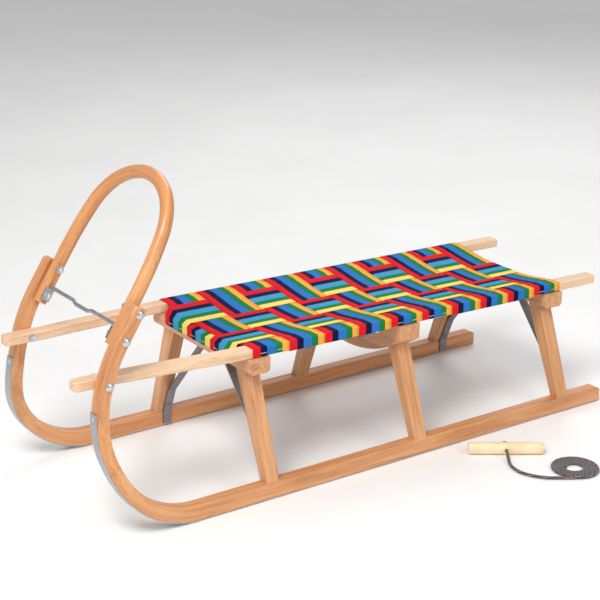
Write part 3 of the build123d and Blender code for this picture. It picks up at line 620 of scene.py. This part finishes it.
# %% Lengthwise straps
FOLD_ANGLES = (0, 22, 45, 68)
STEPS_ALONG = 300
FRONT_LIP, REAR_LIP = 0.0055, 0.0025
BARE_FACE = 0.0130
EDGE_CLEARANCE = 0.0006
edges_between = [(ahead[0].x + behind[1].x) / 2 for ahead, behind in zip(cross_boxes, cross_boxes[1:])]
front_bar_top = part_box("crossbar_front")[1].z + CLOTH / 2 + EDGE_CLEARANCE
rear_bar_top = top_of_rails(last_low.x) - RAIL_TALL + CLOTH / 2 + EDGE_CLEARANCE
for number, row in enumerate(ROWS, start=1):
    low, high = long_boxes[number - 1]
    y_middle = row * PITCH
    wide = PITCH - OVERSIZE
    signs = [-over(k, row) for k in range(10)]
    front_x, rear_x = high.x - CLOTH / 2, low.x + CLOTH / 2
    front_fold, rear_fold = first_high.x + FRONT_LIP, last_low.x - REAR_LIP
    bottom_front, bottom_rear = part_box("crossbar_front")[0].z + BARE_FACE, low.z + 0.0004
    span = front_fold - rear_fold - 2 * FOLD
    flat_points = []
    for i in range(STEPS_ALONG + 1):
        x = front_fold - FOLD - span * i / STEPS_ALONG
        lift = woven(-x, [-b for b in edges_between], signs) * LIFT
        flat_points.append(Vector((x, y_middle, top_of_rails(x) + CLEARANCE + CLOTH / 2 + lift)))
    head, tail = flat_points[0], flat_points[-1]
    front_turn, rear_turn = [], []
    for angle in FOLD_ANGLES:
        out, up = FOLD * math.cos(math.radians(angle)), FOLD * math.sin(math.radians(angle))
        front_turn.append(Vector((front_fold - FOLD + out, y_middle, head.z - FOLD + up)))
        rear_turn.insert(0, Vector((rear_fold + FOLD - out, y_middle, tail.z - FOLD + up)))

    def fold_down(top_x, face_x, top_z, bar_top, bottom):
        """Points from a fold's turn down to the crossbar's edge, and on down its face."""
        slant = [Vector((top_x + (face_x - top_x) * i / 5, y_middle, top_z + (bar_top - top_z) * i / 5))
                 for i in range(1, 6)]
        return slant + [Vector((face_x, y_middle, bar_top + (bottom - bar_top) * i / 5)) for i in range(1, 6)]

    front_drop = fold_down(front_fold, front_x, head.z - FOLD, front_bar_top, bottom_front)
    rear_drop = fold_down(rear_fold, rear_x, tail.z - FOLD, rear_bar_top, bottom_rear)
    line = with_ups(front_drop[::-1] + front_turn + flat_points + rear_turn + rear_drop, Vector((0, 1, 0)))

    def across(place, share, y_middle=y_middle, head=head, tail=tail, wide=wide):
        y = y_middle + share * wide
        hang = 1.0
        if place.x > head.x:
            hang = (place.z - front_bar_top) / (head.z - front_bar_top)
        elif place.x < tail.x:
            hang = (place.z - rear_bar_top) / (tail.z - rear_bar_top)
        return Vector((place.x, y, place.z - sag(y) * min(1.0, max(0.0, hang))))

    strap = strap_mesh(f"long_strap_{number}", line, wide, across, 21, long_webbing, 0.00015)
    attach(strap, "root")
    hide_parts(f"webbing_long_{number}")
print("lengthwise straps made")

# %% [markdown]
# ## The braided rope and its knot
# The rope's cover is braided from coloured yarns with white flecks. Diamonds come from two sets
# of diagonals, one turning each way round the rope. The knot is a short bulge of the same rope.

# %% Rope colour
BRAID = 0.0120


def braided(name, by_uv, length):
    shop = Shop(name)
    where, x, y, z = shop.place()
    if by_uv:
        uv = shop.node("ShaderNodeTexCoord", output="UV")
        split = shop.node("ShaderNodeSeparateXYZ", None, {0: uv})
        run, round_ = (Wire(shop, split.socket.node.outputs[n]) for n in (0, 1))
        run = run * length
    else:
        run, round_ = x + y, z / 0.012
    right = (run / BRAID + round_ * 2.0).fraction()
    left = (run / BRAID - round_ * 2.0).fraction()
    strand = ((run / BRAID + round_ * 2.0) * 4.0).fraction()
    other = ((run / BRAID - round_ * 2.0) * 4.0).fraction()
    tone = shop.ramp(right, [(0.0, light(28, 60, 66)), (0.28, light(36, 84, 120)),
                             (0.50, light(176, 92, 40)), (0.66, light(30, 48, 52)),
                             (0.90, light(226, 222, 206))], "CONSTANT")
    second = shop.ramp(left, [(0.0, light(32, 66, 70)), (0.36, light(190, 106, 48)),
                              (0.52, light(30, 52, 62)), (0.86, light(70, 120, 150))], "CONSTANT")
    weave = ((strand - 0.5) * (other - 0.5)) > 0.0
    fuzz = shop.noise(where, 1400.0, 2.0)
    colour = shop.mix(weave, tone, second)
    colour = shop.mix(fuzz * 0.18, colour, light(20, 24, 26))
    height = (strand - 0.5).size() * (other - 0.5).size() * 2.0 + fuzz * 0.2
    return shop.finish(Base_Color=colour, Roughness=0.66 + fuzz * 0.2, Sheen_Weight=0.2,
                       Sheen_Roughness=0.5, Normal=shop.bump(height, 0.0005, 0.8))


pull_rope.data.materials.append(braided("rope_braid", True, rope_length))

# %% [markdown]
# The knot is an overhand knot pulled tight: a trefoil tube squeezed along its axis. A curve
# with a closed loop makes it well.

# %% Knot
knot_middle = (knot_low + knot_high) / 2
knot_data = bpy.data.curves.new("toggle_knot", "CURVE")
knot_data.dimensions = "3D"
knot_data.bevel_depth = 0.0024
knot_data.bevel_resolution = 5
knot_line = knot_data.splines.new("NURBS")
KNOT_STEPS = 48
knot_line.points.add(KNOT_STEPS - 1)
for i, point in enumerate(knot_line.points):
    t = 2 * math.pi * i / KNOT_STEPS
    spin = 0.0026 + 0.0011 * math.cos(3 * t)
    place = knot_middle + ALONG * (spin * math.cos(2 * t)) + Vector((0, 0, spin * math.sin(2 * t)))
    place += ACROSS * (0.0020 * math.sin(3 * t))
    point.co = (*place, 1)
knot_line.order_u = 3
knot_line.use_cyclic_u = True
knot = bpy.data.objects.new("toggle_knot", knot_data)
bpy.context.scene.collection.objects.link(knot)
knot_data.materials.append(braided("knot_braid", True, 0.09))
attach(knot, "root")
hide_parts("rope_knot")

# %% [markdown]
# ## The toggle
# The handle is turned from pale wood and lacquered in cream. Fine turning rings run round it.

# %% Toggle finish
def turned_toggle(name):
    shop = Shop(name)
    where, x, y, z = shop.place()
    run = (x - handle_middle.x) * ALONG.x + (y - handle_middle.y) * ALONG.y
    rings = shop.noise(shop.point(run * 900.0, 0.0, 0.0), 1.0, 2.0)
    grain = shop.noise(shop.point(run * 8.0, (x + y) * 160.0, z * 160.0), 1.0, 3.0)
    cloud = shop.noise(where, 40.0, 3.0)
    colour = shop.ramp(grain * 0.6 + cloud * 0.4,
                       [(0.32, light(238, 200, 150)), (0.62, light(252, 228, 192))])
    colour = shop.mix(rings * 0.12, colour, light(216, 170, 118))
    return shop.finish(Base_Color=colour, Roughness=0.32 + cloud * 0.12, Coat_Weight=0.4, Coat_Roughness=0.14,
                       Normal=shop.bump(rings * 0.6 + grain * 0.4, 0.00006, 0.6))


dress("pull_handle", turned_toggle("cream_toggle"))

# %% [markdown]
# ## Floor and light
# A pale plain floor and large soft lamps, as in a studio: the main one high in front of the
# horns, two weaker ones beside and behind the sledge, and a pale sky to fill the shadows.

# %% Studio
floor_mesh = bpy.data.meshes.new("floor")
floor_mesh.from_pydata([(-9, -9, 0), (9, -9, 0), (9, 9, 0), (-9, 9, 0)], [], [(0, 1, 2, 3)])
floor = bpy.data.objects.new("floor", floor_mesh)
bpy.context.scene.collection.objects.link(floor)
floor_shop = Shop("studio_floor")
floor_where = floor_shop.place()[0]
floor_cloud = floor_shop.noise(floor_where, 3.0, 3.0)
floor_mesh.materials.append(floor_shop.finish(
    Base_Color=floor_shop.ramp(floor_cloud, [(0.3, (0.86, 0.86, 0.86)), (0.7, (0.90, 0.90, 0.90))]),
    Roughness=0.55 + floor_cloud * 0.1))


def soft_lamp(name, place, target, size, power, tint):
    data = bpy.data.lights.new(name, "AREA")
    data.shape, data.size, data.energy, data.color = "DISK", size, power, tint
    lamp = bpy.data.objects.new(name, data)
    lamp.location = place
    lamp.rotation_mode = "QUATERNION"
    lamp.rotation_quaternion = (Vector(target) - Vector(place)).to_track_quat("-Z", "Y")
    bpy.context.scene.collection.objects.link(lamp)
    return lamp


soft_lamp("key_lamp", (1.7, 1.1, 2.7), (0, 0, 0.2), 1.3, 74, (1.0, 0.985, 0.96))
soft_lamp("side_lamp", (-0.6, 2.8, 1.7), (0, 0, 0.15), 1.8, 22, (0.97, 0.985, 1.0))
soft_lamp("back_lamp", (-1.8, -1.6, 2.2), (0, 0, 0.2), 1.8, 22, (1.0, 1.0, 1.0))
world = bpy.data.worlds.new("studio_sky")
world.use_nodes = True
world.node_tree.nodes["Background"].inputs[0].default_value = (1.0, 1.0, 1.0, 1)
world.node_tree.nodes["Background"].inputs[1].default_value = 0.50
bpy.context.scene.world = world
bpy.context.scene.view_settings.view_transform = "Standard"

# %% [markdown]
# The rope is a free cord, and its real length is summed along its points. The last line brings the scene up
# to date.

# %% Finish
bpy.context.view_layer.update()
